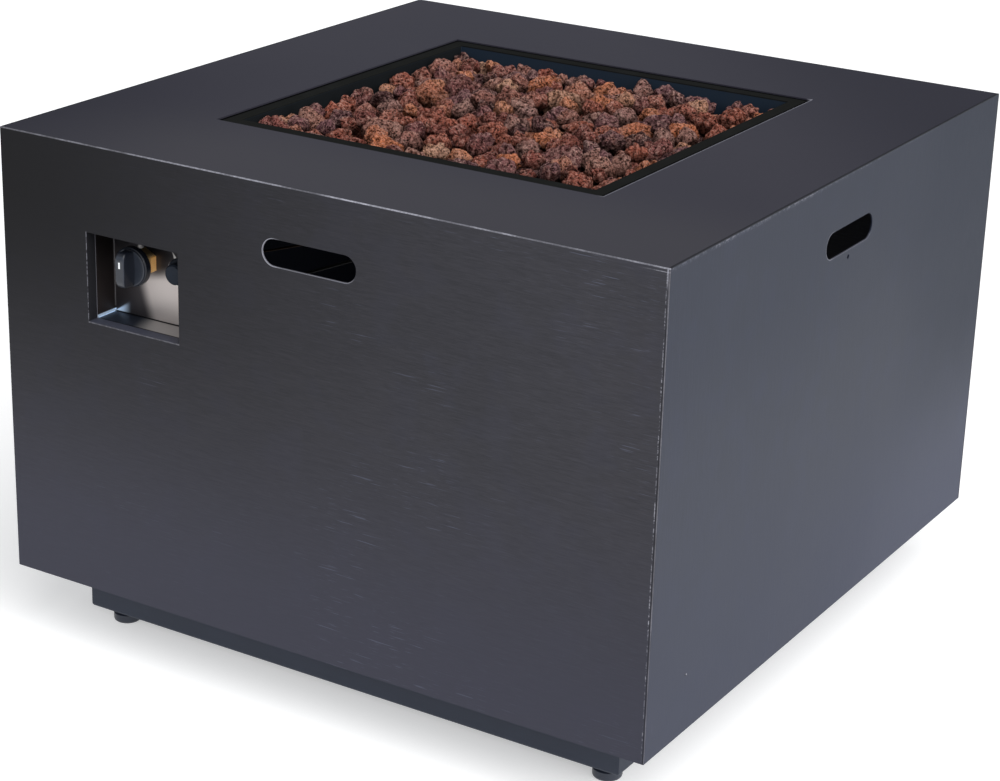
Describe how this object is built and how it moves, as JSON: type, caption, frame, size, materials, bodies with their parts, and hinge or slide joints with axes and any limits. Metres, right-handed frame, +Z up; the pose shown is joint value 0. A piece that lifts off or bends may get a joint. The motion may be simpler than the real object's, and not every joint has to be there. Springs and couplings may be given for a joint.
{
  "type": "square gas fire pit table",
  "caption": "Square sheet-metal gas fire table on a recessed plinth, with a pan of lava rock in its top and a recessed control knob and igniter button.",
  "frame": {"origin": "on the floor under the middle of the body", "axes": "+Z up, the front with the control recess faces -Y, +X to the right seen from the front"},
  "size_m": [0.71, 0.71, 0.5197],
  "materials": {
    "brushed_charcoal": "hand-brushed satin coat over steel sheet",
    "black_powder_coat": "matte powder coat",
    "zinc_steel": "zinc plated",
    "foot_plastic": "moulded",
    "galvanised_sheet": "galvanised",
    "stainless": "bright rolled",
    "brass": "machined",
    "cast_alloy": "die cast",
    "knob_plastic": "satin moulded",
    "battery_wrap": "plain sleeve",
    "hose_rubber": "smooth",
    "copper_tube": "drawn",
    "ceramic": "glazed",
    "lava_stone": "porous volcanic stone"
  },
  "bodies": {
    "fire_table": {"air_mixer": "cast_alloy", "back_panel": "brushed_charcoal", "base_plate": "black_powder_coat", "burner_feed_hose": "hose_rubber", "burner_locknut": "zinc_steel", "burner_pan": "black_powder_coat", "control_box": "stainless", "control_box_nuts": "zinc_steel", "corner_post_back_left": "zinc_steel", "corner_post_back_right": "zinc_steel", "corner_post_front_left": "zinc_steel", "corner_post_front_right": "zinc_steel", "flange_nuts": "zinc_steel", "foot_inserts": "zinc_steel", "front_panel": "brushed_charcoal", "gas_burner": "stainless", "gas_inlet_fitting": "brass", "gas_orifice": "brass", "heat_shield": "galvanised_sheet", "igniter_battery": "battery_wrap", "igniter_bezel": "knob_plastic", "igniter_body": "knob_plastic", "igniter_locknut": "zinc_steel", "ignition_lead": "hose_rubber", "inlet_locknut": "zinc_steel", "inlet_pipe": "copper_tube", "lava_rocks": "lava_stone", "left_panel": "brushed_charcoal", "pilot_bracket": "stainless", "plinth_bolts": "zinc_steel", "plinth_rail_back": "black_powder_coat", "plinth_rail_front": "black_powder_coat", "plinth_rail_left": "black_powder_coat", "plinth_rail_right": "black_powder_coat", "right_panel": "brushed_charcoal", "shield_spacers": "zinc_steel", "spark_electrode": "stainless", "spark_insulator": "ceramic", "thermocouple": "stainless", "thermocouple_lead": "copper_tube", "top_deck": "brushed_charcoal", "valve_body": "brass", "valve_cap": "brass", "valve_nut": "brass"},
    "valve_plug": {"valve_plug": "brass"},
    "knob": {"control_knob": "knob_plastic", "valve_stem": "stainless"},
    "igniter_button": {"igniter_cap": "knob_plastic"},
    "shutter": {"air_shutter": "stainless"},
    "foot_front_left": {"foot_front_left": "foot_plastic"},
    "foot_front_right": {"foot_front_right": "foot_plastic"},
    "foot_back_left": {"foot_back_left": "foot_plastic"},
    "foot_back_right": {"foot_back_right": "foot_plastic"}
  },
  "joints": [
    {"name": "knob_turn", "type": "hinge", "parent": "fire_table", "child": "valve_plug", "pos_m": [-0.2153, -0.315, 0.4037], "axis": [0, -1, 0], "range_deg": [0, 180]},
    {"name": "knob_push", "type": "slide", "parent": "valve_plug", "child": "knob", "axis": [0, 1, 0], "range_m": [0, 0.004], "stiffness_N_per_m": 900, "springref_m": -0.003},
    {"name": "igniter_push", "type": "slide", "parent": "fire_table", "child": "igniter_button", "axis": [0, 1, 0], "range_m": [0, 0.003], "stiffness_N_per_m": 900, "springref_m": -0.003},
    {"name": "air_shutter_turn", "type": "hinge", "parent": "fire_table", "child": "shutter", "pos_m": [0, 0, 0.3938], "axis": [0, 0, 1], "range_deg": [0, 60]},
    {"name": "foot_screw_front_left", "type": "slide", "parent": "fire_table", "child": "foot_front_left", "axis": [0, 0, -1], "range_m": [0, 0.015]},
    {"name": "foot_screw_front_right", "type": "slide", "parent": "fire_table", "child": "foot_front_right", "axis": [0, 0, -1], "range_m": [0, 0.015]},
    {"name": "foot_screw_back_left", "type": "slide", "parent": "fire_table", "child": "foot_back_left", "axis": [0, 0, -1], "range_m": [0, 0.015]},
    {"name": "foot_screw_back_right", "type": "slide", "parent": "fire_table", "child": "foot_back_right", "axis": [0, 0, -1], "range_m": [0, 0.015]}
  ]
}
